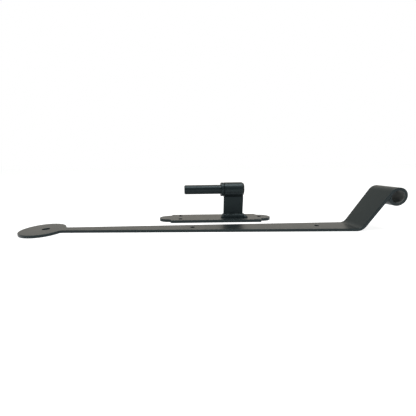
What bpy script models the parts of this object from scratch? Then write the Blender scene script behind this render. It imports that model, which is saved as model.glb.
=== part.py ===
"""Strap hinge with its plate pintle: a flat steel strap with a round end, a set-up bend and a
rolled eye, and a fixing plate that carries an upright rolled around a round pin.

Metres, +Z up. X runs along the strap, Y from the strap towards the plate. Both parts lie on
the ground as they come out of the box, the strap in front of the plate.
"""
import math

import bmesh
import bpy
from mathutils import Matrix, Vector

# strap: flat bar with a round end
STRAP_Y = -0.0193          # centre line of the strap
STRAP_T = 0.0032           # bar thickness
STRAP_NARROW = 0.0127      # bar width where it leaves the round end
STRAP_WIDE = 0.0301        # bar width at the eye
PENNY_X = -0.1958
PENNY_R = 0.0247
PENNY_HOLE_X = -0.1924     # the hole sits a little towards the bar
FLARE_LEN = 0.0095         # bar edges curl out into the round end over this length
FLARE = 0.0023
PENNY_HOLE_R = 0.0043
SCREW_R = 0.0026
STRAP_SCREWS = (-0.0157, 0.1335)

# strap: set-up bend and eye
EYE_X = 0.2103
EYE_Z = 0.0392
EYE_R = 0.0102             # outside of the eye
SLOPE = math.radians(58.0)
BEND_R = 0.0086            # inside radius of the lower bend
EYE_GAP = 0.0005           # between the rolled end and the back of the slope

# pintle: fixing plate
PLATE_X = 0.0168
PLATE_Y = 0.0273
PLATE_T = 0.0038
PLATE_HALF = 0.0608        # middle to shoulder
PLATE_HALF_W = 0.0167
TIP_LEN = 0.0169           # shoulder to tip
TIP_HALF_W = 0.0108
COVE_R = 0.0042            # hollow corner between shoulder and tip
PAIR_X = -0.0482           # two screws one above the other, from the plate's middle
PAIR_Y = 0.0087
SINGLE_X = 0.0626

# pintle: upright, pin and collar
PIN_Z = 0.0428
PIN_R = 0.00635
PIN_TIP_X = -0.0255
COLLAR_X0 = 0.0246
COLLAR_X1 = 0.0282
COLLAR_R = 0.00945
LEG_X0 = 0.0286
LEG_X1 = 0.0556
BARREL_R = 0.0096
LEG_T = 0.0030
JOG_R = 0.0040             # centre-line radius of the jog that leads into the barrel
LEAD = 0.0010              # chamfer on the pin's tip
WELD_WIDE = 0.0050         # foot fillets at the front and back
WELD_LEFT = 0.0028
WELD_RIGHT = 0.0066        # the right-hand fillet runs out further
DOME = 0.0007              # how far the end weld stands out of the barrel

GAP = 0.0003               # clearance between pieces that touch
SEG = 64


def clear_scene():
    for item in list(bpy.data.objects):
        bpy.data.objects.remove(item, do_unlink=True)


def black_coat():
    mat = bpy.data.materials.new("black_powder_coat")
    mat.use_nodes = True
    shader = mat.node_tree.nodes["Principled BSDF"]
    shader.inputs["Base Color"].default_value = (0.018, 0.019, 0.020, 1.0)
    shader.inputs["Roughness"].default_value = 0.42
    shader.inputs["Coat Weight"].default_value = 0.25
    shader.inputs["Coat Roughness"].default_value = 0.25
    return mat


def weld_coat():
    mat = bpy.data.materials.new("black_powder_coat_over_weld")
    mat.use_nodes = True
    shader = mat.node_tree.nodes["Principled BSDF"]
    shader.inputs["Base Color"].default_value = (0.016, 0.017, 0.018, 1.0)
    shader.inputs["Roughness"].default_value = 0.5
    return mat


def finish(name, bm, mat, origin=None, parent=None):
    """Turn a bmesh into a named object, rounded faces shaded smooth, origin where asked."""
    bmesh.ops.remove_doubles(bm, verts=bm.verts, dist=0.000002)
    bmesh.ops.recalc_face_normals(bm, faces=bm.faces)
    at = Vector(origin) if origin else Vector((0.0, 0.0, 0.0))
    bmesh.ops.translate(bm, verts=bm.verts, vec=-at)
    mesh = bpy.data.meshes.new(name)
    bm.to_mesh(mesh)
    bm.free()
    mesh.shade_smooth()
    mesh.set_sharp_from_angle(angle=math.radians(32.0))
    mesh.materials.append(mat)
    obj = bpy.data.objects.new(name, mesh)
    bpy.context.scene.collection.objects.link(obj)
    obj.location = at
    if parent is not None:
        bpy.context.view_layer.update()
        obj.parent = parent
        obj.matrix_parent_inverse = parent.matrix_world.inverted()
    return obj


def slab(outline, plane, start, depth):
    """Solid between two copies of a flat outline. plane 'xy' is drawn flat and runs up Z from
    start; 'xz' is drawn upright and runs along Y; 'yz' is drawn across and runs along X."""
    bm = bmesh.new()
    verts = []
    for a, b in outline:
        if plane == "xy":
            verts.append(bm.verts.new((a, b, start)))
        elif plane == "xz":
            verts.append(bm.verts.new((a, start, b)))
        else:
            verts.append(bm.verts.new((start, a, b)))
    face = bm.faces.new(verts)
    run = {"xy": (0.0, 0.0, depth), "xz": (0.0, depth, 0.0), "yz": (depth, 0.0, 0.0)}[plane]
    grown = bmesh.ops.extrude_face_region(bm, geom=[face])
    moved = [g for g in grown["geom"] if isinstance(g, bmesh.types.BMVert)]
    bmesh.ops.translate(bm, verts=moved, vec=run)
    bmesh.ops.recalc_face_normals(bm, faces=bm.faces)
    return bm


def arc(cx, cy, r, start, stop, steps):
    """Points round a circle from one angle to another, in degrees."""
    out = []
    for i in range(steps + 1):
        a = math.radians(start + (stop - start) * i / steps)
        out.append((cx + r * math.cos(a), cy + r * math.sin(a)))
    return out


def turned(profile, axis, at, segments=SEG):
    """Body of revolution: profile is (along, radius) pairs, closed on the axis or a ring."""
    bm = bmesh.new()
    rings = []
    for along, radius in profile:
        ring = []
        for i in range(segments):
            a = 2.0 * math.pi * i / segments
            u, v = radius * math.cos(a), radius * math.sin(a)
            if axis == "x":
                point = (at[0] + along, at[1] + u, at[2] + v)
            else:
                point = (at[0] + u, at[1] + v, at[2] + along)
            ring.append(bm.verts.new(point))
        rings.append(ring)
    for lower, upper in zip(rings, rings[1:]):
        for i in range(segments):
            j = (i + 1) % segments
            bm.faces.new((lower[i], lower[j], upper[j], upper[i]))
    return bm, rings


def turned_solid(profile, axis, at, segments=SEG):
    bm, rings = turned(profile, axis, at, segments)
    bm.faces.new(rings[0])
    bm.faces.new(rings[-1])
    return bm


def turned_ring(profile, axis, at, segments=SEG):
    bm, rings = turned(profile, axis, at, segments)
    first, last = rings[0], rings[-1]
    for i in range(segments):
        j = (i + 1) % segments
        bm.faces.new((last[i], last[j], first[j], first[i]))
    return bm


def cutter(bm, name):
    mesh = bpy.data.meshes.new(name)
    bmesh.ops.recalc_face_normals(bm, faces=bm.faces)
    bm.to_mesh(mesh)
    bm.free()
    obj = bpy.data.objects.new(name, mesh)
    bpy.context.scene.collection.objects.link(obj)
    return obj


def boolean(obj, tool, operation):
    """Apply an exact Boolean and drop the tool, keeping obj's name and material."""
    mod = obj.modifiers.new("cut", "BOOLEAN")
    mod.operation = operation
    mod.solver = "EXACT"
    mod.object = tool
    graph = bpy.context.evaluated_depsgraph_get()
    graph.update()
    done = bpy.data.meshes.new_from_object(obj.evaluated_get(graph))
    obj.modifiers.clear()
    old = obj.data
    obj.data = done
    done.name = obj.name
    bpy.data.meshes.remove(old)
    bpy.data.objects.remove(tool, do_unlink=True)
    obj.data.shade_smooth()
    obj.data.set_sharp_from_angle(angle=math.radians(32.0))


def hole(x, y, r, top, segments=32):
    bm = turned_solid([(-0.002, r), (top + 0.002, r)], "z", (x, y, 0.0), segments)
    return cutter(bm, "hole_cutter")


def slope_line():
    """Key points of the strap's side view: the upper face runs flat, bends up round BEND_R and
    meets the outside of the eye in line, at the angle SLOPE."""
    nx, nz = -math.sin(SLOPE), math.cos(SLOPE)
    touch = (EYE_X + EYE_R * nx, EYE_Z + EYE_R * nz)
    fall = touch[1] - STRAP_T
    corner = touch[0] - fall / math.tan(SLOPE)
    setback = BEND_R * math.tan(SLOPE / 2.0)
    centre = (corner - setback, STRAP_T + BEND_R)
    return centre, math.degrees(SLOPE)


def strap_side():
    centre, slope = slope_line()
    eye_in = EYE_R - STRAP_T
    cut = eye_in - EYE_GAP
    out_turn = math.degrees(math.acos(cut / EYE_R))
    in_turn = math.degrees(math.acos(cut / eye_in))
    lead = 90.0 + slope
    left = PENNY_X + math.sqrt(PENNY_R ** 2 - (STRAP_NARROW / 2.0) ** 2) - 0.004
    flat = [left + FLARE_LEN * i / 8.0 for i in range(9)]
    steps = 10
    rest = centre[0] - flat[-1]
    flat += [flat[-1] + rest * i / steps for i in range(1, steps + 1)]
    points = [(x, STRAP_T) for x in flat]
    points += arc(centre[0], centre[1], BEND_R, -90.0, -90.0 + slope, 10)[1:]
    points += arc(EYE_X, EYE_Z, EYE_R, lead, lead + out_turn - 360.0, 44)
    points += arc(EYE_X, EYE_Z, eye_in, lead + in_turn - 360.0, lead, 44)
    points += arc(centre[0], centre[1], BEND_R + STRAP_T, -90.0 + slope, -90.0, 10)
    points += [(x, 0.0) for x in reversed(flat[:-1])]
    return points, left


def strap_half_width(x, left):
    full = EYE_X - EYE_R * math.sin(SLOPE)
    part = min(1.0, max(0.0, (x - left) / (full - left)))
    flare = FLARE * max(0.0, 1.0 - (x - left) / FLARE_LEN) ** 2
    return 0.5 * (STRAP_NARROW + (STRAP_WIDE - STRAP_NARROW) * part) + flare


def build_strap(mat, pivot):
    side, left = strap_side()
    bm = slab(side, "xz", STRAP_Y - 0.5, 1.0)
    for v in bm.verts:
        sign = 1.0 if v.co.y > STRAP_Y else -1.0
        v.co.y = STRAP_Y + sign * strap_half_width(v.co.x, left)
    strap = finish("strap", bm, mat)
    disc = turned_solid([(0.0, PENNY_R), (STRAP_T, PENNY_R)], "z", (PENNY_X, STRAP_Y, 0.0), 80)
    boolean(strap, cutter(disc, "disc_tool"), "UNION")
    boolean(strap, hole(PENNY_HOLE_X, STRAP_Y, PENNY_HOLE_R, STRAP_T, 40), "DIFFERENCE")
    for x in STRAP_SCREWS:
        boolean(strap, hole(x, STRAP_Y, SCREW_R, STRAP_T), "DIFFERENCE")
    at = Vector((EYE_X, STRAP_Y, EYE_Z))
    strap.data.transform(Matrix.Translation(-at))
    strap.location = at
    strap.parent = pivot
    strap.matrix_parent_inverse = pivot.matrix_world.inverted()
    return strap


def build_eye_weld(mat, pivot):
    """Fillet that closes the rolled end against the back of the slope, on the lower side."""
    eye_in = EYE_R - STRAP_T
    lead = 90.0 + math.degrees(SLOPE)
    ring = EYE_R + GAP
    back = eye_in - GAP
    start = lead + math.degrees(math.acos(back / ring))
    along = (-math.cos(SLOPE), -math.sin(SLOPE))
    normal = (-math.sin(SLOPE), math.cos(SLOPE))
    low = back / math.cos(math.radians(start - lead)) * math.sin(math.radians(start - lead))
    far = low + 0.0042
    toe = (EYE_X + normal[0] * back + along[0] * far, EYE_Z + normal[1] * back + along[1] * far)
    rim = arc(EYE_X, EYE_Z, ring, start, start + 22.0, 8)
    end = rim[-1]
    points = rim[:]
    bow = 0.0007
    for i in range(1, 7):
        f = i / 7.0
        swell = bow * math.sin(math.pi * f)
        points.append((end[0] + (toe[0] - end[0]) * f - along[1] * -swell * 0.6,
                       end[1] + (toe[1] - end[1]) * f - swell))
    points.append(toe)
    half = STRAP_WIDE / 2.0 - 0.0012
    bm = slab(points, "xz", STRAP_Y - half, 2.0 * half)
    return finish("eye_weld", bm, mat, (EYE_X, STRAP_Y, EYE_Z), pivot)


def plate_outline():
    """Long plate with a narrower rounded tip at each end, cut in with small hollow coves."""
    cove = COVE_R
    right = [(PLATE_HALF, -PLATE_HALF_W)]
    step = PLATE_HALF_W - TIP_HALF_W - cove
    right.append((PLATE_HALF, -PLATE_HALF_W + step))
    hollow = arc(PLATE_HALF + cove, -PLATE_HALF_W + step, cove, 180.0, 90.0, 8)
    right += hollow[1:]
    base = PLATE_HALF + cove
    reach = PLATE_HALF + TIP_LEN - base
    for i in range(1, 32):
        a = math.radians(-90.0 + 180.0 * i / 32.0)
        right.append((base + reach * math.cos(a), TIP_HALF_W * math.sin(a)))
    upper = [(x, -y) for x, y in reversed(right[:len(hollow) + 1])]
    right += upper
    left = [(-x, -y) for x, y in right]
    return [(PLATE_X + x, PLATE_Y + y) for x, y in right + left]


def build_plate(mat):
    bm = slab(plate_outline(), "xy", 0.0, PLATE_T)
    plate = finish("pintle_plate", bm, mat)
    spots = ((PAIR_X, PAIR_Y), (PAIR_X, -PAIR_Y), (SINGLE_X, 0.0))
    for x, y in spots:
        boolean(plate, hole(PLATE_X + x, PLATE_Y + y, SCREW_R, PLATE_T), "DIFFERENCE")
    return plate


def leg_plane():
    """Front and back Y of the flat part of the upright, which stands under the pin's axis."""
    return PLATE_Y - LEG_T / 2.0, PLATE_Y + LEG_T / 2.0


def leg_jog():
    """Centre of the jog's arc and the angle at which the strip joins the barrel: the strip bows
    back round JOG_R until it runs in line with the barrel's centre circle."""
    middle = BARREL_R - LEG_T / 2.0
    drop = math.sqrt(middle ** 2 + 2.0 * middle * JOG_R)
    return (PLATE_Y + JOG_R, PIN_Z - drop), -math.degrees(math.atan2(drop, JOG_R))


def build_leg(mat):
    """Upright strip: straight up, a jog backwards, then forwards over the pin and back under
    to the front of the jog, where a narrow slit stays open."""
    front, back = leg_plane()
    foot = PLATE_T + GAP
    inner = BARREL_R - LEG_T
    centre, join = leg_jog()
    facing = 180.0 + join
    end = 270.0 + math.degrees(math.asin((front - 0.0006 - PLATE_Y) / BARREL_R))
    points = [(back, foot)]
    points += arc(centre[0], centre[1], JOG_R - LEG_T / 2.0, 180.0, facing, 8)
    points += arc(PLATE_Y, PIN_Z, BARREL_R, join, end, 54)[1:]
    points += arc(PLATE_Y, PIN_Z, inner, end, join, 50)
    points += arc(centre[0], centre[1], JOG_R + LEG_T / 2.0, facing, 180.0, 8)[1:]
    points.append((front, foot))
    bm = slab(points, "yz", LEG_X0, LEG_X1 - LEG_X0)
    return finish("pintle_leg", bm, mat)


def build_pin(mat):
    """Round pin: chamfered tip, through the collar, ending just inside the barrel's far face."""
    stop = LEG_X1 - 0.0016
    length = stop - PIN_TIP_X
    profile = [(0.0, PIN_R - LEAD), (LEAD, PIN_R), (length - LEAD, PIN_R), (length, PIN_R - LEAD)]
    bm = turned_solid(profile, "x", (PIN_TIP_X, PLATE_Y, PIN_Z))
    return finish("pintle_pin", bm, mat, (PIN_TIP_X, PLATE_Y, PIN_Z))


def build_collar(mat):
    inner = PIN_R + GAP
    wide = COLLAR_X1 - COLLAR_X0
    c = 0.0005
    profile = [(0.0, inner), (0.0, COLLAR_R - c), (c, COLLAR_R), (wide - c, COLLAR_R),
               (wide, COLLAR_R - c), (wide, inner)]
    bm = turned_ring(profile, "x", (COLLAR_X0, PLATE_Y, PIN_Z))
    return finish("pin_collar", bm, mat, (COLLAR_X0, PLATE_Y, PIN_Z))


def build_end_weld(mat):
    """Shallow dome of weld that fills the barrel's mouth behind the pin."""
    start = LEG_X1 - 0.0013
    mouth = BARREL_R - LEG_T - GAP
    profile = [(0.0, mouth)]
    profile.append((LEG_X1 - start + GAP, mouth))
    cap = BARREL_R - 0.0012
    profile.append((LEG_X1 - start + GAP, cap))
    rise = DOME
    for i in range(1, 9):
        a = math.radians(90.0 * i / 9.0)
        profile.append((LEG_X1 - start + GAP + rise * math.sin(a), cap * math.cos(a)))
    bm = turned_solid(profile, "x", (start, PLATE_Y, PIN_Z))
    return finish("pin_end_weld", bm, mat, (start, PLATE_Y, PIN_Z))


def fillet(wide, high, bow):
    """Cross-section of a fillet weld in the corner at the origin: toes at (wide, 0) and
    (0, high), face bowed outwards by bow."""
    points = [(GAP, GAP), (wide, GAP)]
    for i in range(1, 8):
        f = i / 8.0
        swell = bow * math.sin(math.pi * f)
        points.append((wide * (1.0 - f) + swell * 0.7 + GAP * f,
                       high * f + swell * 0.7 + GAP * (1.0 - f)))
    points.append((GAP, high))
    return points


def build_foot_welds(mat):
    """Four fillets round the upright's foot, each ending short of the next one."""
    front, back = leg_plane()
    made = []
    shape = fillet(WELD_WIDE, WELD_WIDE, 0.0008)
    runs = (("foot_weld_front", -1.0, front), ("foot_weld_back", 1.0, back))
    for name, way, wall in runs:
        points = [(wall + way * a, PLATE_T + b) for a, b in shape]
        bm = slab(points, "yz", LEG_X0 - 0.0002, LEG_X1 - LEG_X0 + 0.0004)
        made.append(finish(name, bm, mat))
    ends = (("foot_weld_left", -1.0, LEG_X0 - 0.0002, WELD_LEFT),
            ("foot_weld_right", 1.0, LEG_X1 + 0.0002, WELD_RIGHT))
    for name, way, wall, wide in ends:
        side = fillet(wide, 0.0048, 0.0004)
        points = [(wall + way * a, PLATE_T + b) for a, b in side]
        reach = 0.0012
        bm = slab(points, "xz", front - reach, back - front + 2.0 * reach)
        made.append(finish(name, bm, mat))
    return made


def main():
    clear_scene()
    coat = black_coat()
    over_weld = weld_coat()
    pivot = bpy.data.objects.new("strap_pivot", None)
    bpy.context.scene.collection.objects.link(pivot)
    pivot.location = (EYE_X, STRAP_Y, EYE_Z)
    bpy.context.view_layer.update()
    build_strap(coat, pivot)
    build_eye_weld(over_weld, pivot)
    build_plate(coat)
    build_leg(coat)
    build_pin(coat)
    build_collar(coat)
    build_end_weld(over_weld)
    build_foot_welds(over_weld)


main()
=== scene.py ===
"""Strap hinge and plate pintle, coated black, lying side by side on a pale studio floor.

Every new piece is a closed surface worked out with numpy. The flat steel pieces start as a plan
drawn in two numbers (along the bar, across it), get a thickness with rounded edges, and are
then rolled along the piece's side view. Metres throughout, +Z up, X along the strap.
"""
import math

import bpy
import numpy as np
from mathutils import Matrix, Vector


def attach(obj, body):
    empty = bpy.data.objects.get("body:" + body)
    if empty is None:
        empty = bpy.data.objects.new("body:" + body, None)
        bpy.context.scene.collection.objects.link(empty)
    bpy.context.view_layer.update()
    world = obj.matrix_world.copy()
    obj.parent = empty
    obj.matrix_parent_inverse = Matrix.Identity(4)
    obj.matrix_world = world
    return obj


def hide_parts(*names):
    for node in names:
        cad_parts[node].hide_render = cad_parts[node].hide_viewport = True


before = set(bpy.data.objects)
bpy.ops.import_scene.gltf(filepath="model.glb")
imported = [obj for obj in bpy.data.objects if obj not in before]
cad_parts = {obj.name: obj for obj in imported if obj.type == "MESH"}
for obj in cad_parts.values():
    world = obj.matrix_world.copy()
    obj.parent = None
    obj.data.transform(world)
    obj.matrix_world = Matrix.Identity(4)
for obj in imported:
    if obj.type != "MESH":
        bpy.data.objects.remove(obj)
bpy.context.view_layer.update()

# ---------------------------------------------------------------- sizes, as in the solids
STRAP_Y = -0.0193
STRAP_T = 0.0032
STRAP_NARROW = 0.0127
STRAP_WIDE = 0.0301
PENNY_X = -0.1958
PENNY_R = 0.0247
PENNY_HOLE_X = -0.1924
PENNY_HOLE_R = 0.0043
FLARE_LEN = 0.0095
FLARE = 0.0023
SCREW_R = 0.0026
STRAP_SCREWS = (-0.0157, 0.1335)
EYE_X = 0.2103
EYE_Z = 0.0392
EYE_R = 0.0102
SLOPE = math.radians(58.0)
BEND_R = 0.0086
EYE_GAP = 0.0005
PLATE_X = 0.0168
PLATE_Y = 0.0273
PLATE_T = 0.0038
PLATE_HALF = 0.0608
PLATE_HALF_W = 0.0167
TIP_LEN = 0.0169
TIP_HALF_W = 0.0108
COVE_R = 0.0042
PAIR_X = -0.0482
PAIR_Y = 0.0087
SINGLE_X = 0.0626
PIN_Z = 0.0428
PIN_R = 0.00635
PIN_TIP_X = -0.0255
COLLAR_X0 = 0.0246
COLLAR_X1 = 0.0282
COLLAR_R = 0.00945
LEG_X0 = 0.0286
LEG_X1 = 0.0556
BARREL_R = 0.0096
LEG_T = 0.0030
JOG_R = 0.0040

# ---------------------------------------------------------------- sizes of the finish
EDGE_R = 0.00045           # roll-over along the upper side of a sheared edge
BURR_R = 0.00012           # the lower side stays nearly sharp
EDGE_STEPS = 4             # facets in each rounded edge
LEG_EDGE_R = 0.0007        # the upright's edges are dressed round on both sides
LEG_EDGE_STEPS = 6
CORNER_OFF = 0.0004        # the plate's shoulders have their corners just taken off
LEG_LEAN = 0.0004          # the upright stands this far to the right of its barrel
ROLL_EASE = 0.004          # length of strip over which a roll comes to its full effect
SQUARE = 0.008             # half the square of plan that is fanned about a screw hole
BAR_ROWS = 10              # strips across the bar
SEW_GRID = 2.0e6           # points that agree to half a micron are the same point
FOOT_FRONT = 0.0037        # the fillet's reach over the plate, in front and behind
FOOT_RIGHT = 0.0052
FOOT_LEFT = 0.0030
FOOT_CORNER_RIGHT = 0.0034     # extra reach where the bead starts and stops, at the corners
FOOT_CORNER_LEFT = 0.0020
FOOT_HIGH = 0.0050         # the fillet's reach up the upright, along its width
FOOT_SIDE_HIGH = 0.0047    # and at its narrow sides
FOOT_RIPPLES = 62          # crescents all the way round
CORNER_RUN = 0.004         # length of bead counted for each corner
SEAM_LEG = 0.0033          # reach of the eye's bead along the slope
SEAM_PITCH = 0.0013        # from one ripple to the next
RIPPLE_HIGH = 0.00009
BEAD_POINTS = 15           # across a bead's face


# ---------------------------------------------------------------- mesh from plans
def put_mesh(name, verts, faces, normals, edge, body, mat, nodes=(), thin_coat_and_bore_light=None):
    """Mesh object from arrays, riding on its body for its nodes. It carries the edge mask and,
    on the inner face of the eye, the mask of the painted light in the bore."""
    mesh = bpy.data.meshes.new(name)
    mesh.from_pydata(verts.tolist(), [], faces)
    mesh.update()
    mesh.shade_smooth()
    if normals is not None:
        mesh.normals_split_custom_set_from_vertices(normals.tolist())
    mask = mesh.attributes.new("edge", "FLOAT", "POINT")
    mask.data.foreach_set("value", edge.astype(np.float32))
    # mask of the painted light in the eye's bore: a lighter grey base colour goes there
    if thin_coat_and_bore_light is not None:
        bore_light_mask = mesh.attributes.new("thin_coat_and_bore_light", "FLOAT", "POINT")
        bore_light_mask.data.foreach_set("value", thin_coat_and_bore_light.astype(np.float32))
    mesh.materials.append(mat)
    obj = bpy.data.objects.new(name, mesh)
    bpy.context.scene.collection.objects.link(obj)
    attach(obj, body)
    if nodes:
        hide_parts(*nodes)
    return obj


def patch(points):
    """Quads between neighbouring points of an (a, b, 2) grid."""
    a, b = points.shape[:2]
    index = np.arange(a * b).reshape(a, b)
    quads = np.stack([index[:-1, :-1], index[1:, :-1], index[1:, 1:], index[:-1, 1:]], -1)
    return points.reshape(-1, 2), quads.reshape(-1, 4)


def ruled(left, right, steps):
    """Points on straight lines from each point of one line to its partner on another; steps
    is a count or the fractions themselves."""
    f = np.linspace(0.0, 1.0, steps + 1) if np.isscalar(steps) else np.asarray(steps)
    return left[None] * (1.0 - f)[:, None, None] + right[None] * f[:, None, None]


def around_hole(centre, radius, outline, steps=6, turn=None):
    """Points fanning from a round hole to a closed outline: each outline point is joined to the
    rim point in the same direction from the centre, or to the one at the angle given for it."""
    loop = np.vstack([outline, outline[:1]])
    if turn is None:
        turn = np.unwrap(np.arctan2(loop[:, 1] - centre[1], loop[:, 0] - centre[0]))
        turn[-1] = turn[0] + 2.0 * math.pi * np.sign(turn[-1] - turn[0])
    rim = np.asarray(centre) + radius * np.stack([np.cos(turn), np.sin(turn)], 1)
    return ruled(rim, loop, steps)


def sew(patches):
    """One plan out of several: equal points become one, and every quad runs anticlockwise."""
    points, quads, start = [], [], 0
    for p in patches:
        v, q = patch(p)
        points.append(v)
        quads.append(q + start)
        start += len(v)
    points, quads = np.vstack(points), np.vstack(quads)
    key = np.round(points * SEW_GRID).astype(np.int64)
    _, first, back = np.unique(key, axis=0, return_index=True, return_inverse=True)
    points, quads = points[first], back.reshape(-1)[quads]
    p = points[quads]
    d1, d2 = p[:, 2] - p[:, 0], p[:, 3] - p[:, 1]
    area = d1[:, 0] * d2[:, 1] - d1[:, 1] * d2[:, 0]
    quads[area < 0] = quads[area < 0][:, ::-1]
    return points, quads


def rim_of(points, quads):
    """Directed outline edges of a plan, and each outline point's outward mitred normal."""
    a = quads.reshape(-1)
    b = np.roll(quads, -1, axis=1).reshape(-1)
    n = len(points)
    forward, backward = a * n + b, b * n + a
    lone = ~np.isin(forward, backward)
    a, b = a[lone], b[lone]
    step = points[b] - points[a]
    step /= np.linalg.norm(step, axis=1)[:, None]
    out = np.stack([step[:, 1], -step[:, 0]], 1)
    ahead, behind = np.zeros((n, 2)), np.zeros((n, 2))
    ahead[a], behind[b] = out, out
    both = 1.0 + (ahead * behind).sum(1)
    mitre = (ahead + behind) / np.maximum(both, 0.4)[:, None]
    return a, b, mitre


def thicken(points, quads, thick, round_r=EDGE_R, burr_r=BURR_R, steps=EDGE_STEPS):
    """Closed plate from a plan: the upper face stops round_r short of the outline, and a quarter
    round, the straight side and a tighter quarter round of burr_r join it to the lower face.
    Returns (s, w, h) points, local normals, faces and the edge mask."""
    a, b, out = rim_of(points, quads)
    n = len(points)
    on_rim = np.unique(a)
    inset = points - out * round_r
    turn = np.linspace(0.5 * math.pi, 0.0, steps + 1)
    rings = [(round_r * math.cos(t), thick - round_r + round_r * math.sin(t),
              math.cos(t), math.sin(t)) for t in turn]
    rings += [(round_r - burr_r * (1.0 - math.cos(t)), burr_r * (1.0 - math.sin(t)),
               math.cos(t), -math.sin(t)) for t in turn[::-1]]
    rings += [(0.0, 0.0, 0.0, -1.0)]
    slot_of = np.full(n, -1)
    slot_of[on_rim] = np.arange(len(on_rim))
    top = np.column_stack([inset, np.full(n, thick)])
    low = np.column_stack([inset, np.zeros(n)])
    verts = [top, low]
    normals = [np.tile([0.0, 0.0, 1.0], (n, 1)), np.tile([0.0, 0.0, -1.0], (n, 1))]
    edge = [np.zeros(n), np.zeros(n)]
    unit = out[on_rim] / np.linalg.norm(out[on_rim], axis=1)[:, None]
    ring_ids = []
    base = 2 * n
    for i, (reach, height, c, s) in enumerate(rings):
        if i == 0:
            ring_ids.append(on_rim)
            continue
        if i == len(rings) - 1:
            ring_ids.append(on_rim + n)
            continue
        flat = inset[on_rim] + out[on_rim] * reach
        verts.append(np.column_stack([flat, np.full(len(on_rim), height)]))
        normals.append(np.column_stack([unit * c, np.full(len(on_rim), s)]))
        edge.append(np.full(len(on_rim), 0.3 if c > 0.99 else 1.0))
        ring_ids.append(np.arange(len(on_rim)) + base)
        base += len(on_rim)
    faces = [quads, quads[:, ::-1] + n]
    sa, sb = slot_of[a], slot_of[b]
    for upper, lower in zip(ring_ids, ring_ids[1:]):
        faces.append(np.stack([lower[sa], lower[sb], upper[sb], upper[sa]], 1))
    return np.vstack(verts), np.vstack(normals), np.vstack(faces), np.concatenate(edge)


# ---------------------------------------------------------------- strap
def slope_start():
    """Centre of the lower bend, and where the slope touches the eye."""
    touch = (EYE_X - EYE_R * math.sin(SLOPE), EYE_Z + EYE_R * math.cos(SLOPE))
    corner = touch[0] - (touch[1] - STRAP_T) / math.tan(SLOPE)
    return (corner - BEND_R * math.tan(SLOPE / 2.0), STRAP_T + BEND_R), touch


BEND_C, TOUCH = slope_start()
BEND_LEN = (BEND_R + STRAP_T / 2.0) * SLOPE
BEND_END = (BEND_C[0] + BEND_R * math.sin(SLOPE), BEND_C[1] - BEND_R * math.cos(SLOPE))
SLOPE_LEN = math.hypot(TOUCH[0] - BEND_END[0], TOUCH[1] - BEND_END[1])
S_BEND = BEND_C[0]
S_SLOPE = S_BEND + BEND_LEN
S_EYE = S_SLOPE + SLOPE_LEN
EYE_IN = EYE_R - STRAP_T
S_END = S_EYE + 2.0 * math.pi * 0.9 * (EYE_R + EYE_IN) / 2.0


def roll_strap(local, normal):
    """(along, across, up) of the flat bar -> its place: flat, then round the lower bend, up the
    slope, and round the eye clockwise, where the end is cut to lie against the slope."""
    s, w, h = local.T
    x, z, angle = s.copy(), h.copy(), np.zeros_like(s)
    bend = (s > S_BEND) & (s <= S_SLOPE)
    turn = (s[bend] - S_BEND) / BEND_LEN * SLOPE
    reach = BEND_R + STRAP_T - h[bend]
    x[bend] = BEND_C[0] + reach * np.sin(turn)
    z[bend] = BEND_C[1] - reach * np.cos(turn)
    angle[bend] = turn
    rise = (s > S_SLOPE) & (s <= S_EYE)
    run, off = s[rise] - S_SLOPE, h[rise] - STRAP_T
    x[rise] = BEND_END[0] + run * math.cos(SLOPE) - off * math.sin(SLOPE)
    z[rise] = BEND_END[1] + run * math.sin(SLOPE) + off * math.cos(SLOPE)
    angle[rise] = SLOPE
    eye = s > S_EYE
    radius = EYE_IN + h[eye]
    full = 2.0 * math.pi - np.arccos((EYE_IN - EYE_GAP) / radius)
    swept = (s[eye] - S_EYE) / (S_END - S_EYE) * full
    lead = math.pi / 2.0 + SLOPE - swept
    x[eye] = EYE_X + radius * np.cos(lead)
    z[eye] = EYE_Z + radius * np.sin(lead)
    angle[eye] = lead - math.pi / 2.0
    ns, nw, nh = normal.T
    place = np.column_stack([x, STRAP_Y + w, z])
    turned = np.column_stack([ns * np.cos(angle) - nh * np.sin(angle), nw,
                              ns * np.sin(angle) + nh * np.cos(angle)])
    return place, turned


BAR_LEFT = PENNY_X + math.sqrt(PENNY_R ** 2 - (STRAP_NARROW / 2.0) ** 2) - 0.004


def bar_half(s):
    """Half the bar's width at s: a straight taper that is full at the eye, curling out into the
    round end over FLARE_LEN."""
    s = np.asarray(s, float)
    bend_x = BEND_C[0] + BEND_R * np.sin(np.clip((s - S_BEND) / BEND_LEN, 0, 1) * SLOPE)
    x = np.where(s <= S_BEND, s, bend_x + np.clip(s - S_SLOPE, 0, SLOPE_LEN) * math.cos(SLOPE))
    part = np.clip((x - BAR_LEFT) / (TOUCH[0] - BAR_LEFT), 0.0, 1.0)
    flare = FLARE * np.clip(1.0 - (x - BAR_LEFT) / FLARE_LEN, 0.0, None) ** 2
    return 0.5 * (STRAP_NARROW + (STRAP_WIDE - STRAP_NARROW) * part) + flare


def across(s, count):
    half = float(bar_half(s))
    return np.column_stack([np.full(count + 1, s), np.linspace(-half, half, count + 1)])


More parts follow.
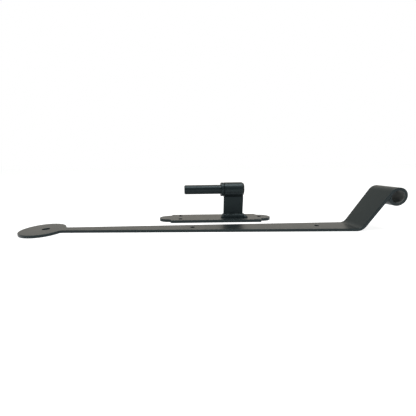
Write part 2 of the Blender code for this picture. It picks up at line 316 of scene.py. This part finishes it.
def strap_plan():
    """Round end fanned about its hole, plain stretches ruled between cross lines, and a square
    fanned about each screw hole."""
    low, high = BAR_LEFT - 0.002, BAR_LEFT + 0.008
    for _ in range(60):
        mid = 0.5 * (low + high)
        inside = math.sqrt(max(PENNY_R ** 2 - (mid - PENNY_X) ** 2, 0.0)) > float(bar_half(mid))
        low, high = (mid, high) if inside else (low, mid)
    join = low
    half = float(bar_half(join))
    start = math.atan2(half, join - PENNY_X)
    turn = np.linspace(start, 2.0 * math.pi - start, 141)[1:-1]
    ring = np.column_stack([PENNY_X + PENNY_R * np.cos(turn), PENNY_R * np.sin(turn)])
    outline = np.vstack([across(join, BAR_ROWS), ring])
    patches = [around_hole((PENNY_HOLE_X, 0.0), PENNY_HOLE_R, outline, steps=9)]
    here = join
    for x in STRAP_SCREWS:
        flare = np.linspace(0.0, 1.0, 28) ** 2.0 if here == join else np.linspace(0.0, 1.0, 22)
        left, right = x - SQUARE, x + SQUARE
        stations = here + (left - here) * flare
        patches.append(np.stack([across(s, BAR_ROWS) for s in stations]))
        spread = np.linspace(right, left, 13)[1:-1]
        far = np.column_stack([spread, bar_half(spread)])
        near = far[::-1] * [1.0, -1.0]
        loop = np.vstack([across(right, BAR_ROWS), far, across(left, BAR_ROWS)[::-1], near])
        patches.append(around_hole((x, 0.0), SCREW_R, loop, steps=5))
        here = right
    stations = np.concatenate([np.linspace(here, S_BEND, 8), np.linspace(S_BEND, S_SLOPE, 25)[1:],
                               np.linspace(S_SLOPE, S_EYE, 11)[1:],
                               np.linspace(S_EYE, S_END, 121)[1:]])
    patches.append(np.stack([across(s, BAR_ROWS) for s in stations]))
    return sew(patches)


def make_strap(mat):
    points, quads = strap_plan()
    local, normal, faces, edge = thicken(points, quads, STRAP_T)
    verts, normals = roll_strap(local, normal)
    # the inner face of the eye gets a lighter grey: painted light for the light entering the bore
    # from behind
    in_bore = np.clip((local[:, 0] - S_EYE) / ROLL_EASE, 0.0, 1.0) * (local[:, 2] < 1e-5)
    return put_mesh("strap_forging", verts, faces.tolist(), normals, edge, "strap",
                    mat, ("strap",), thin_coat_and_bore_light=in_bore)


# ---------------------------------------------------------------- pintle plate
def tip_edge(y):
    """X of the plate's end at a distance y from its middle line: rounded tip, hollow cove, then
    the square shoulder with its corner just taken off."""
    y = np.abs(y)
    base = PLATE_HALF + COVE_R
    reach = TIP_LEN - COVE_R
    tip = base + reach * np.sqrt(np.clip(1.0 - (y / TIP_HALF_W) ** 2, 0.0, 1.0))
    lip = TIP_HALF_W + COVE_R
    cove = base - np.sqrt(np.clip(COVE_R ** 2 - (lip - y) ** 2, 0.0, None))
    x = np.where(y <= TIP_HALF_W, tip, cove)
    x = np.where(y > lip, PLATE_HALF, x)
    return np.where(y > PLATE_HALF_W - 1e-6, PLATE_HALF - CORNER_OFF, x)


def plate_rows():
    """Distances from the middle line that catch the tip, the cove and the shoulder."""
    tip = TIP_HALF_W * np.sin(np.linspace(0.0, 0.5 * math.pi, 13))
    cove = TIP_HALF_W + COVE_R * (1.0 - np.cos(np.linspace(0.0, 0.5 * math.pi, 8)[1:]))
    half = np.concatenate([tip, cove, [PLATE_HALF_W - CORNER_OFF, PLATE_HALF_W]])
    return np.concatenate([-half[:0:-1], half])


def tip_patches(y, x2):
    """Right tip, from the cross line x2 out: a fan about its hole as far as the coves reach, and
    a strip to each shoulder. The rim angles spread the fan so that its lines never cross."""
    lip = TIP_HALF_W + COVE_R
    inner = y[y < lip + 1e-6]
    side = np.linspace(PLATE_HALF, x2, 9)
    edge = np.column_stack([tip_edge(inner), inner])
    flank = np.column_stack([side[1:-1], np.full(7, inner[-1])])
    back = np.column_stack([np.full(len(inner), x2), inner[::-1]])
    half = np.vstack([edge, flank, back])
    marks = [0, 12, len(inner) - 1, len(inner) + 7, len(half) - 1]
    turn = np.radians(np.interp(np.arange(len(half)), marks, [0.0, 72.0, 128.0, 150.0, 180.0]))
    loop = np.vstack([half, half[-2:0:-1] * [1.0, -1.0]])
    turn = np.concatenate([turn, 2.0 * math.pi - turn[-2::-1]])
    patches = [around_hole((SINGLE_X, 0.0), SCREW_R, loop, 7, turn)]
    corner = np.append(side[::-1][:-1], PLATE_HALF - CORNER_OFF)
    rows = [(side[::-1], inner[-1]), (side[::-1], y[-2]), (corner, y[-1])]
    for way in (1.0, -1.0):
        patches.append(np.stack([np.column_stack([x, np.full(9, h * way)]) for x, h in rows]))
    return patches


def plate_plan():
    y = plate_rows()
    middle = len(y) // 2

    def line(x):
        return np.column_stack([np.full(len(y), x), y])

    left_tip = np.column_stack([-tip_edge(y), y])
    x0, x1, x2 = PAIR_X - SQUARE, PAIR_X + SQUARE, PLATE_HALF - 0.010
    patches = [ruled(left_tip, line(x0), 8), ruled(line(x1), line(x2), 30)]
    for rows, centre in ((slice(middle, None), PAIR_Y), (slice(0, middle + 1), -PAIR_Y)):
        right, left = line(x1)[rows], line(x0)[rows][::-1]
        spread = np.linspace(x1, x0, 13)[1:-1]
        high, low = right[-1, 1], right[0, 1]
        top = np.column_stack([spread, np.full(11, high)])
        foot = np.column_stack([spread[::-1], np.full(11, low)])
        loop = np.vstack([right, top, left, foot])
        patches.append(around_hole((PAIR_X, centre), SCREW_R, loop, steps=5))
    patches += tip_patches(y[middle:], x2)
    points, quads = sew(patches)
    return points + [PLATE_X, PLATE_Y], quads


def make_plate(mat):
    points, quads = plate_plan()
    verts, normals, faces, edge = thicken(points, quads, PLATE_T)
    return put_mesh("plate_blank", verts, faces.tolist(), normals, edge, "pintle",
                    mat, ("pintle_plate",))


# ---------------------------------------------------------------- upright with rolled barrel
LEG_IN = BARREL_R - LEG_T
LEG_MID = BARREL_R - LEG_T / 2.0
JOG_DROP = math.sqrt(LEG_MID ** 2 + 2.0 * LEG_MID * JOG_R)
JOG_TURN = math.atan2(JOG_DROP, JOG_R)
LEG_FOOT = PLATE_T + 0.0003
S_JOG = PIN_Z - JOG_DROP - LEG_FOOT
S_BARREL = S_JOG + JOG_R * JOG_TURN
SLIT = 0.0003              # left open between the strip's end and the jog
LEG_WRAP = math.radians(270.0) + math.asin((-LEG_T / 2.0 - SLIT) / BARREL_R) + JOG_TURN
S_LEG_END = S_BARREL + LEG_MID * LEG_WRAP
PULL_LEFT = 0.0002         # a tight roll draws its outer skin in at the edges
PULL_RIGHT = 0.0017
NARROWED = 0.0006          # and the strip a little narrower
SKIN = 0.00002             # keeps the outermost facets within the solid's size


def roll_leg(local, normal):
    """(along, across, back) of the flat strip -> its place: straight up, a jog backwards, then
    round the barrel's centre circle over the pin and under it to the front of the jog."""
    s, w, h = local.T
    y, z, turn = PLATE_Y - LEG_T / 2.0 + h, LEG_FOOT + s, np.zeros_like(s)
    jog = (s > S_JOG) & (s <= S_BARREL)
    swing = (s[jog] - S_JOG) / JOG_R
    reach = JOG_R + LEG_T / 2.0 - h[jog]
    y[jog] = PLATE_Y + JOG_R - reach * np.cos(swing)
    z[jog] = PIN_Z - JOG_DROP + reach * np.sin(swing)
    turn[jog] = -swing
    roll = s > S_BARREL
    wrap = -JOG_TURN + (s[roll] - S_BARREL) / LEG_MID
    rolled = np.clip((s - S_BARREL) / ROLL_EASE, 0.0, 1.0)
    radius = LEG_IN + h[roll] - SKIN * rolled[roll]
    y[roll] = PLATE_Y + radius * np.cos(wrap)
    z[roll] = PIN_Z + radius * np.sin(wrap)
    turn[roll] = wrap
    share = w / (LEG_X1 - LEG_X0)
    drawn = rolled * h / LEG_T
    lean = LEG_LEAN * np.clip((S_BARREL - s) / (S_BARREL - S_JOG), 0.0, 1.0)
    x = LEG_X0 + w + lean - NARROWED * rolled * share
    x += drawn * (PULL_LEFT * (1.0 - share) - PULL_RIGHT * share)
    ns, nw, nh = normal.T
    place = np.column_stack([x, y, z])
    turned = np.column_stack([nw, nh * np.cos(turn) - ns * np.sin(turn),
                              nh * np.sin(turn) + ns * np.cos(turn)])
    return place, turned


def make_leg(mat):
    wide = LEG_X1 - LEG_X0
    stations = np.concatenate([np.linspace(0.0, S_JOG, 12), np.linspace(S_JOG, S_BARREL, 15)[1:],
                               np.linspace(S_BARREL, S_LEG_END, 121)[1:]])
    rows = np.linspace(0.0, wide, 9)
    grid = np.stack(np.meshgrid(stations, rows, indexing="ij"), -1)
    points, quads = sew([grid])
    local, normal, faces, edge = thicken(points, quads, LEG_T, LEG_EDGE_R, LEG_EDGE_R,
                                           LEG_EDGE_STEPS)
    verts, normals = roll_leg(local, normal)
    return put_mesh("rolled_upright", verts, faces.tolist(), normals, edge, "pintle",
                    mat, ("pintle_leg",))


# ---------------------------------------------------------------- turned pieces
def turned_piece(name, profile, closed, mat, nodes, sides=96, wobble=None):
    """Profile of (x, radius) points turned about the pin's axis. An open profile is closed by a
    pole on the axis at each end; a closed one makes a ring."""
    profile = np.asarray(profile, float)
    turn = np.arange(sides) * 2.0 * math.pi / sides
    radius = np.repeat(profile[:, 1:2], sides, 1)
    along = np.repeat(profile[:, :1], sides, 1)
    if wobble is not None:
        along, radius = wobble(along, radius, turn[None])
    grid = np.stack([along, PLATE_Y - radius * np.sin(turn), PIN_Z + radius * np.cos(turn)], -1)
    count = len(profile)
    index = np.arange(count * sides).reshape(count, sides)
    nxt = np.roll(index, -1, axis=1)
    if closed:
        lower, upper = index, np.roll(index, -1, axis=0)
        lown, upn = nxt, np.roll(nxt, -1, axis=0)
    else:
        lower, upper, lown, upn = index[:-1], index[1:], nxt[:-1], nxt[1:]
    faces = np.stack([lower, upper, upn, lown], -1).reshape(-1, 4).tolist()
    verts = grid.reshape(-1, 3)
    if not closed:
        first, last = len(verts), len(verts) + 1
        ends = [[grid[0, :, 0].mean(), PLATE_Y, PIN_Z], [grid[-1, :, 0].mean(), PLATE_Y, PIN_Z]]
        verts = np.vstack([verts, ends])
        faces += [[first, int(p), int(q)] for p, q in zip(index[0], nxt[0])]
        faces += [[last, int(q), int(p)] for p, q in zip(index[-1], nxt[-1])]
    step = np.gradient(profile, axis=0)
    slope = np.abs(step[:, 1]) / (np.abs(step[:, 0]) + np.abs(step[:, 1]) + 1e-9)
    mask = np.repeat(np.where((slope > 0.15) & (slope < 0.85), 1.0, 0.0)[:, None], sides, 1)
    edge = np.concatenate([mask.reshape(-1), np.zeros(len(verts) - count * sides)])
    obj = put_mesh(name, verts, faces, None, edge, "pintle", mat, nodes)
    obj.data.set_sharp_from_angle(angle=math.radians(50.0))
    return obj


def quarter(cx, cr, r, start, stop, steps=6):
    """Points of a rounded corner on a profile, angles in degrees from +x towards +radius."""
    t = np.radians(np.linspace(start, stop, steps + 1))
    return np.column_stack([cx + r * np.cos(t), cr + r * np.sin(t)])


def straight(a, b, steps):
    f = np.linspace(0.0, 1.0, steps + 1)[:, None]
    return np.asarray(a) * (1.0 - f) + np.asarray(b) * f


def make_pin(mat):
    """Round bar with a chamfered tip and a slight shoulder fillet at the collar."""
    stop = LEG_X1 - 0.0016
    lead, r = 0.0009, PIN_R
    parts = [straight((PIN_TIP_X, 0.0012), (PIN_TIP_X, r - lead - 0.0003), 6),
             quarter(PIN_TIP_X + 0.0003, r - lead - 0.0003, 0.0003, 180.0, 125.0, 4),
             quarter(PIN_TIP_X + lead + 0.0004, r - 0.0004, 0.0004, 130.0, 90.0, 4),
             straight((PIN_TIP_X + lead + 0.0010, r), (COLLAR_X0 - 0.0022, r), 24),
             straight((COLLAR_X0 - 0.0018, r - 0.00012), (COLLAR_X0 - 0.0008, r - 0.00016), 3),
             straight((COLLAR_X0 - 0.0004, r), (stop, r), 12),
             straight((stop, r - 0.0005), (stop, 0.0012), 4)]
    return turned_piece("pin_bar", np.vstack(parts), False, mat, ("pintle_pin",))


def make_collar(mat):
    """Thrust ring with rounded corners, close round the pin."""
    bore, r = PIN_R + 0.0001, COLLAR_R
    x0, x1, c = COLLAR_X0, COLLAR_X1 + 0.0002, 0.0005
    parts = [straight((x0, bore), (x0, r - c), 5)[:-1],
             quarter(x0 + c, r - c, c, 180.0, 90.0, 7),
             straight((x0 + c, r), (x1 - c, r), 6)[1:-1],
             quarter(x1 - c, r - c, c, 90.0, 0.0, 7),
             straight((x1, r - c), (x1, bore), 5)[1:]]
    return turned_piece("thrust_collar", np.vstack(parts), True, mat,
                        ("pin_collar",))


def make_end_weld(mat):
    """Low dome of weld over the barrel's mouth, its skin rippled in rough circles."""
    x, rise = LEG_X1 - 0.0008, 0.0015
    cap = BARREL_R - 0.0012
    t = np.linspace(0.0, 0.5 * math.pi, 26)[:-1]
    dome = np.column_stack([x + rise * np.sin(t), cap * np.cos(t)])
    parts = [straight((x - 0.0008, 0.0012), (x - 0.0008, cap - 0.0012), 4),
             straight((x - 0.0004, cap - 0.0002), (x - 0.0001, cap), 2), dome[1:]]

    def wobble(along, radius, turn):
        share = np.clip((along - x) / rise, 0.0, 1.0)
        lump = 0.035 * np.sin(3.0 * turn + 0.8) + 0.022 * np.sin(7.0 * turn + 2.1)
        ripple = 0.000045 * np.sin(2.0 * math.pi * radius / 0.0011 + 1.3 * np.sin(turn + 0.5))
        return along + share * ripple, radius * (1.0 + lump * np.where(along > x - 0.0002, 1, 0))

    return turned_piece("barrel_end_weld", np.vstack(parts), False, mat,
                        ("pin_end_weld",), wobble=wobble)


# ---------------------------------------------------------------- weld beads
def bead_section(wide, high, count=BEAD_POINTS):
    """Outlines of a fillet in its corner, one for each wide and high: from the toe on the flat,
    over a bowed face, to the toe on the wall, then back inside both. Columns are (out from the
    wall, up the wall)."""
    f = np.linspace(0.0, 1.0, count)
    out = wide[:, None] * np.cos(0.5 * math.pi * f)[None] ** 1.35
    up = high[:, None] * np.sin(0.5 * math.pi * f)[None] ** 1.35
    inside = np.full_like(wide, -0.0004)
    under = np.full_like(wide, -0.0002)
    out = np.column_stack([out, inside, inside, wide * 0.98])
    up = np.column_stack([up, high * 0.98, under, under])
    return out, up


def foot_path():
    """Closed line round the upright's foot, a rectangle with its corners rounded: points, outward
    directions and distance along it."""
    r = LEG_EDGE_R
    x0, x1 = LEG_X0 + LEG_LEAN + r, LEG_X1 + LEG_LEAN - r
    y0, y1 = PLATE_Y - LEG_T / 2.0 + r, PLATE_Y + LEG_T / 2.0 - r
    spans = [(x1 - x0, (x0, y0), (1, 0), None), (None, (x1, y0), None, -90.0),
             (y1 - y0, (x1, y0), (0, 1), None), (None, (x1, y1), None, 0.0),
             (x1 - x0, (x1, y1), (-1, 0), None), (None, (x0, y1), None, 90.0),
             (y1 - y0, (x0, y1), (0, -1), None), (None, (x0, y0), None, 180.0)]
    points, outs, dist, run = [], [], [], 0.0
    for length, at, way, start in spans:
        if start is None:
            n = max(int(length / 0.00018), 6)
            f = np.arange(n) / n * length
            out = np.array([way[1], -way[0]], float)
            points.append(np.array(at) + f[:, None] * np.array(way, float) + out * r)
            outs.append(np.tile(out, (n, 1)))
            dist.append(run + f)
            run += length
        else:
            n = 16
            t = np.radians(start + 90.0 * np.arange(n) / n)
            out = np.column_stack([np.cos(t), np.sin(t)])
            points.append(np.array(at) + out * r)
            outs.append(out)
            dist.append(run + CORNER_RUN * np.arange(n) / n)
            run += CORNER_RUN
    return np.vstack(points), np.vstack(outs), np.concatenate(dist), run


def make_foot_weld(mat):
    """Fillet section carried round the foot; its size swells and sinks a little, and the face
    carries crescent ripples that lag towards the toes."""
    points, outs, dist, total = foot_path()
    side = outs[:, 0] ** 2
    rightward = outs[:, 0] > 0
    corner = np.clip(-2.0 * outs[:, 1] * np.abs(outs[:, 0]), 0.0, 1.0)
    wide = FOOT_FRONT * (1.0 - side) + np.where(rightward, FOOT_RIGHT, FOOT_LEFT) * side
    wide += corner * np.where(rightward, FOOT_CORNER_RIGHT, FOOT_CORNER_LEFT)
    high = FOOT_HIGH * (1.0 - side) + FOOT_SIDE_HIGH * side
    cycles = 2.0 * math.pi * dist / total
    size = 1.0 + 0.05 * np.sin(5.0 * cycles + 0.4) + 0.035 * np.sin(11.0 * cycles + 2.0)
    out, up = bead_section(wide * size, high * size)
    count, m = out.shape
    pitch = total / FOOT_RIPPLES
    face = np.linspace(-1.0, 1.0, m - 3)
    lag = np.concatenate([0.00055 * face ** 2, np.zeros(3)])
    bulge = np.concatenate([np.cos(0.5 * math.pi * face) ** 0.5, np.zeros(3)])
    wave = np.sin(2.0 * math.pi * (dist[:, None] + lag[None]) / pitch)
    wave += 0.4 * np.sin(4.0 * math.pi * (dist[:, None] + lag[None]) / pitch + 1.0)
    swell = RIPPLE_HIGH * wave * bulge[None]
    length = np.hypot(out, up) + 1e-9
    out, up = out + swell * out / length, up + swell * up / length
    xy = points[:, None, :] + outs[:, None, :] * out[..., None]
    verts = np.concatenate([xy, (PLATE_T + up)[..., None]], -1).reshape(-1, 3)
    index = np.arange(count * m).reshape(count, m)
    ahead, side = np.roll(index, -1, axis=0), np.roll(index, -1, axis=1)
    both = np.roll(ahead, -1, axis=1)
    faces = np.stack([index, ahead, both, side], -1).reshape(-1, 4)
    edge = np.zeros(len(verts))
    return put_mesh("foot_weld", verts, faces.tolist(), None, edge, "pintle", mat,
                    ("foot_weld_front", "foot_weld_back", "foot_weld_left", "foot_weld_right"))


def make_eye_weld(mat):
    """Bead laid along the crotch between the rolled end and the back of the slope, rippled like
    the foot's and rounded off at both ends."""
    lead = math.pi / 2.0 + SLOPE
    start = lead + math.acos(EYE_IN / EYE_R)
    spot = np.array([EYE_X + EYE_R * math.cos(start), EYE_Z + EYE_R * math.sin(start)])
    down = np.array([-math.cos(SLOPE), -math.sin(SLOPE)])
    tangent = np.array([-math.sin(start), math.cos(start)])
    f = np.linspace(0.0, 1.0, BEAD_POINTS)[:, None]
    toe_a, toe_b = spot + down * SEAM_LEG, spot + tangent * SEAM_LEG * 0.9
    bow = (down + tangent) / np.linalg.norm(down + tangent)
    face = toe_a * (1 - f) + toe_b * f + bow * 0.0006 * np.sin(math.pi * f)
    inward = -bow * 0.0006
    section = np.vstack([face, toe_b * 0.98 + spot * 0.02 + inward, spot + inward * 2.0,
                         toe_a * 0.98 + spot * 0.02 + inward])
    half = STRAP_WIDE / 2.0 - 0.0008
    n = 190
    u = np.linspace(-1.0, 1.0, n)
    shrink = np.clip(1.0 - np.abs(u) ** 14, 0.02, 1.0)[:, None, None]
    y = STRAP_Y + u * half
    m = len(section)
    face_u = np.linspace(-1.0, 1.0, BEAD_POINTS)
    lag = np.concatenate([0.0005 * face_u ** 2, np.zeros(3)])
    mask = np.concatenate([np.cos(0.5 * math.pi * face_u) ** 0.5, np.zeros(3)])
    wave = np.sin(2.0 * math.pi * (y[:, None] + lag[None]) / SEAM_PITCH) * mask[None]
    swell = RIPPLE_HIGH * wave + 0.0002 * mask[None] * np.sin(9.0 * u[:, None] + 1.0)
    swell = swell[..., None]
    xz = spot + (section[None] - spot) * shrink + bow * swell
    verts = np.stack([xz[..., 0], np.repeat(y[:, None], m, 1), xz[..., 1]], -1).reshape(-1, 3)
    index = np.arange(n * m).reshape(n, m)
    side = np.roll(index, -1, axis=1)
    faces = np.stack([index[:-1], side[:-1], side[1:], index[1:]], -1).reshape(-1, 4).tolist()
    faces += [index[0][::-1].tolist(), index[-1].tolist()]
    edge = np.zeros(len(verts))
    return put_mesh("eye_seam_weld", verts, faces, None, edge, "strap", mat,
                    ("eye_weld",))


# ---------------------------------------------------------------- finishes
PATCHES = 38.0             # noise scales, per metre: soft patches, specks, fine and slow peel
SPECKS = 2600.0
FINE_PEEL = 950.0
SLOW_PEEL = 210.0
FINE_PEEL_HIGH = 0.000012
SLOW_PEEL_HIGH = 0.00006
GLOSS = 0.30               # the coat mirrors a little less than plain plastic
COOL = (0.76, 0.96, 1.0, 1.0)
# lighter grey for the inner face of the eye's bore: painted light for the light entering the bore
# from behind
BORE_LIGHT_GREY = (0.125, 0.13, 0.125, 1.0)


def node(tree, kind, **inputs):
    made = tree.nodes.new(kind)
    for key, value in inputs.items():
        made.inputs[key.replace("_", " ")].default_value = value
    return made


def powder_coat(name, tint, rough, peel):
    """Black powder coat: a fine orange peel over slow waves, roughness that drifts in soft
    patches with fine specks, edges where the coat runs thinner and a little glossier, and a
    lighter grey base colour inside the eye's bore, painted light for the light entering it from
    behind."""
    mat = bpy.data.materials.new(name)
    mat.use_nodes = True
    tree = mat.node_tree
    shader = tree.nodes["Principled BSDF"]
    shader.inputs["Specular IOR Level"].default_value = GLOSS
    shader.inputs["Specular Tint"].default_value = COOL
    coords = tree.nodes.new("ShaderNodeTexCoord").outputs["Object"]
    edge = tree.nodes.new("ShaderNodeAttribute")
    edge.attribute_name = "edge"

    def noise(scale, detail, roughness=0.5):
        made = node(tree, "ShaderNodeTexNoise", Scale=scale, Detail=detail, Roughness=roughness)
        tree.links.new(coords, made.inputs["Vector"])
        return made.outputs["Fac"]

    drift = noise(PATCHES, 3.0)
    speck = noise(SPECKS, 2.0, 0.6)
    peel_fine = noise(FINE_PEEL, 2.0, 0.45)
    peel_slow = noise(SLOW_PEEL, 1.0)

    ramp = tree.nodes.new("ShaderNodeMapRange")
    ramp.inputs["To Min"].default_value = rough - 0.045
    ramp.inputs["To Max"].default_value = rough + 0.055
    tree.links.new(drift, ramp.inputs["Value"])
    fine = tree.nodes.new("ShaderNodeMath")
    fine.operation = "MULTIPLY_ADD"
    fine.inputs[1].default_value = 0.06
    tree.links.new(speck, fine.inputs[0])
    tree.links.new(ramp.outputs["Result"], fine.inputs[2])
    thin_coat_and_bore_light = tree.nodes.new("ShaderNodeMath")
    thin_coat_and_bore_light.operation = "MULTIPLY_ADD"
    thin_coat_and_bore_light.inputs[1].default_value = -0.07
    tree.links.new(edge.outputs["Fac"], thin_coat_and_bore_light.inputs[0])
    tree.links.new(fine.outputs["Value"], thin_coat_and_bore_light.inputs[2])
    tree.links.new(thin_coat_and_bore_light.outputs["Value"], shader.inputs["Roughness"])

    mix = tree.nodes.new("ShaderNodeMix")
    mix.data_type = "RGBA"
    mix.inputs["A"].default_value = (*tint, 1.0)
    mix.inputs["B"].default_value = (*[c * 1.45 + 0.001 for c in tint], 1.0)
    blend = tree.nodes.new("ShaderNodeMath")
    blend.operation = "MULTIPLY_ADD"
    blend.inputs[1].default_value = 0.35
    tree.links.new(edge.outputs["Fac"], blend.inputs[0])
    tree.links.new(drift, blend.inputs[2])
    tree.links.new(blend.outputs["Value"], mix.inputs["Factor"])
    # painted light: the bore mask mixes a lighter grey into the inner face of the eye
    bore_light_mask = tree.nodes.new("ShaderNodeAttribute")
    bore_light_mask.attribute_name = "thin_coat_and_bore_light"
    bore_light_mix = tree.nodes.new("ShaderNodeMix")
    bore_light_mix.data_type = "RGBA"
    bore_light_mix.inputs["B"].default_value = BORE_LIGHT_GREY
    tree.links.new(bore_light_mask.outputs["Fac"], bore_light_mix.inputs["Factor"])
    tree.links.new(mix.outputs["Result"], bore_light_mix.inputs["A"])
    tree.links.new(bore_light_mix.outputs["Result"], shader.inputs["Base Color"])

    slow = node(tree, "ShaderNodeBump", Strength=1.0, Distance=SLOW_PEEL_HIGH * peel)
    tree.links.new(peel_slow, slow.inputs["Height"])
    close = node(tree, "ShaderNodeBump", Strength=1.0, Distance=FINE_PEEL_HIGH * peel)
    tree.links.new(peel_fine, close.inputs["Height"])
    tree.links.new(slow.outputs["Normal"], close.inputs["Normal"])
    tree.links.new(close.outputs["Normal"], shader.inputs["Normal"])
    return mat


# ---------------------------------------------------------------- stage, light and camera
SKY_FRONT = (0.20, 0.24, 0.26)
SKY_BACK = (1.36, 1.25, 1.11)
SOFTBOX_W = 9.0
SOFTBOX_PLACE = (0.0, -0.12, 0.85)
SOFTBOX_SIZE = (1.1, 0.32)
FLOOR_GLOW = 0.84          # the floor is a white table lit from beneath
FLOOR_TONE = (0.35, 0.35, 0.35, 1.0)
FLOOR_HALF = 6.0
CAMERA_PLACE = Vector((-0.02137, -0.26434, 0.07732))
PITCH = math.radians(12.09)
ROLL = math.radians(-0.771)
YAW = math.radians(-0.099)
SENSOR = 36.0
LENS = 18.346154
SHIFT = (0.04991, 0.00388)


def make_stage():
    """Square white floor under both parts."""
    mesh = bpy.data.meshes.new("studio_floor")
    side = FLOOR_HALF
    corners = [(-side, -side, 0.0), (side, -side, 0.0), (side, side, 0.0), (-side, side, 0.0)]
    mesh.from_pydata(corners, [], [(0, 1, 2, 3)])
    floor = bpy.data.objects.new("studio_floor", mesh)
    bpy.context.scene.collection.objects.link(floor)
    mat = bpy.data.materials.new("pale_floor")
    mat.use_nodes = True
    shader = mat.node_tree.nodes["Principled BSDF"]
    shader.inputs["Base Color"].default_value = FLOOR_TONE
    shader.inputs["Roughness"].default_value = 0.9
    shader.inputs["Specular IOR Level"].default_value = 0.0
    shader.inputs["Emission Color"].default_value = (1.0, 1.0, 1.0, 1.0)
    shader.inputs["Emission Strength"].default_value = FLOOR_GLOW
    mesh.materials.append(mat)


def soft_light(name, place, aim, size, power):
    data = bpy.data.lights.new(name, "AREA")
    data.shape = "RECTANGLE"
    data.size, data.size_y = size
    data.energy = power
    lamp = bpy.data.objects.new(name, data)
    lamp.location = place
    lamp.rotation_euler = (Vector(aim) - Vector(place)).to_track_quat("-Z", "Y").to_euler()
    bpy.context.scene.collection.objects.link(lamp)


def make_light():
    """White cove: the sky is brighter and warmer behind the parts than in front of them, and a
    broad softbox hangs over them. Straight views of the sky are plain white."""
    scene = bpy.context.scene
    world = bpy.data.worlds.new("studio")
    world.use_nodes = True
    tree = world.node_tree
    sky = tree.nodes["Background"]
    coords = tree.nodes.new("ShaderNodeTexCoord")
    parts = tree.nodes.new("ShaderNodeSeparateXYZ")
    tree.links.new(coords.outputs["Generated"], parts.inputs["Vector"])
    depth = tree.nodes.new("ShaderNodeMapRange")
    depth.inputs["From Min"].default_value = 0.0
    depth.inputs["From Max"].default_value = 1.0
    tree.links.new(parts.outputs["Y"], depth.inputs["Value"])
    cove = tree.nodes.new("ShaderNodeMix")
    cove.data_type = "RGBA"
    cove.inputs["A"].default_value = (*SKY_FRONT, 1.0)
    cove.inputs["B"].default_value = (*SKY_BACK, 1.0)
    tree.links.new(depth.outputs["Result"], cove.inputs["Factor"])
    path = tree.nodes.new("ShaderNodeLightPath")
    seen = tree.nodes.new("ShaderNodeMix")
    seen.data_type = "RGBA"
    seen.inputs["B"].default_value = (1.0, 1.0, 1.0, 1.0)
    tree.links.new(path.outputs["Is Camera Ray"], seen.inputs["Factor"])
    tree.links.new(cove.outputs["Result"], seen.inputs["A"])
    tree.links.new(seen.outputs["Result"], sky.inputs["Color"])
    scene.world = world
    scene.view_settings.view_transform = "Standard"
    scene.view_settings.look = "None"
    soft_light("overhead_softbox", SOFTBOX_PLACE, (0.0, 0.0, 0.0), SOFTBOX_SIZE, SOFTBOX_W)


def make_camera():
    """Wide view from just above the strap, level with its length, tilted down at both parts."""
    ahead = Vector((math.sin(YAW) * math.cos(PITCH), math.cos(YAW) * math.cos(PITCH),
                    -math.sin(PITCH)))
    right = Vector((math.cos(YAW), -math.sin(YAW), 0.0))
    up = right.cross(ahead)
    tilted = right * math.cos(ROLL) + up * math.sin(ROLL)
    up = up * math.cos(ROLL) - right * math.sin(ROLL)
    data = bpy.data.cameras.new("camera")
    data.sensor_width = SENSOR
    data.lens = LENS
    data.shift_x, data.shift_y = SHIFT
    data.clip_start = 0.001
    cam = bpy.data.objects.new("camera", data)
    turn = Matrix((tilted, up, -ahead)).transposed().to_4x4()
    cam.matrix_world = Matrix.Translation(CAMERA_PLACE) @ turn
    bpy.context.scene.collection.objects.link(cam)
    bpy.context.scene.camera = cam


coat = powder_coat("satin_black_coat", (0.0062, 0.0088, 0.0098), 0.36, 1.0)
weld_coat = powder_coat("satin_black_coat_on_weld", (0.0062, 0.0086, 0.0094), 0.40, 1.3)
make_strap(coat)
make_eye_weld(weld_coat)
make_plate(coat)
make_leg(coat)
make_pin(coat)
make_collar(coat)
make_end_weld(weld_coat)
make_foot_weld(weld_coat)
make_stage()
make_light()
make_camera()
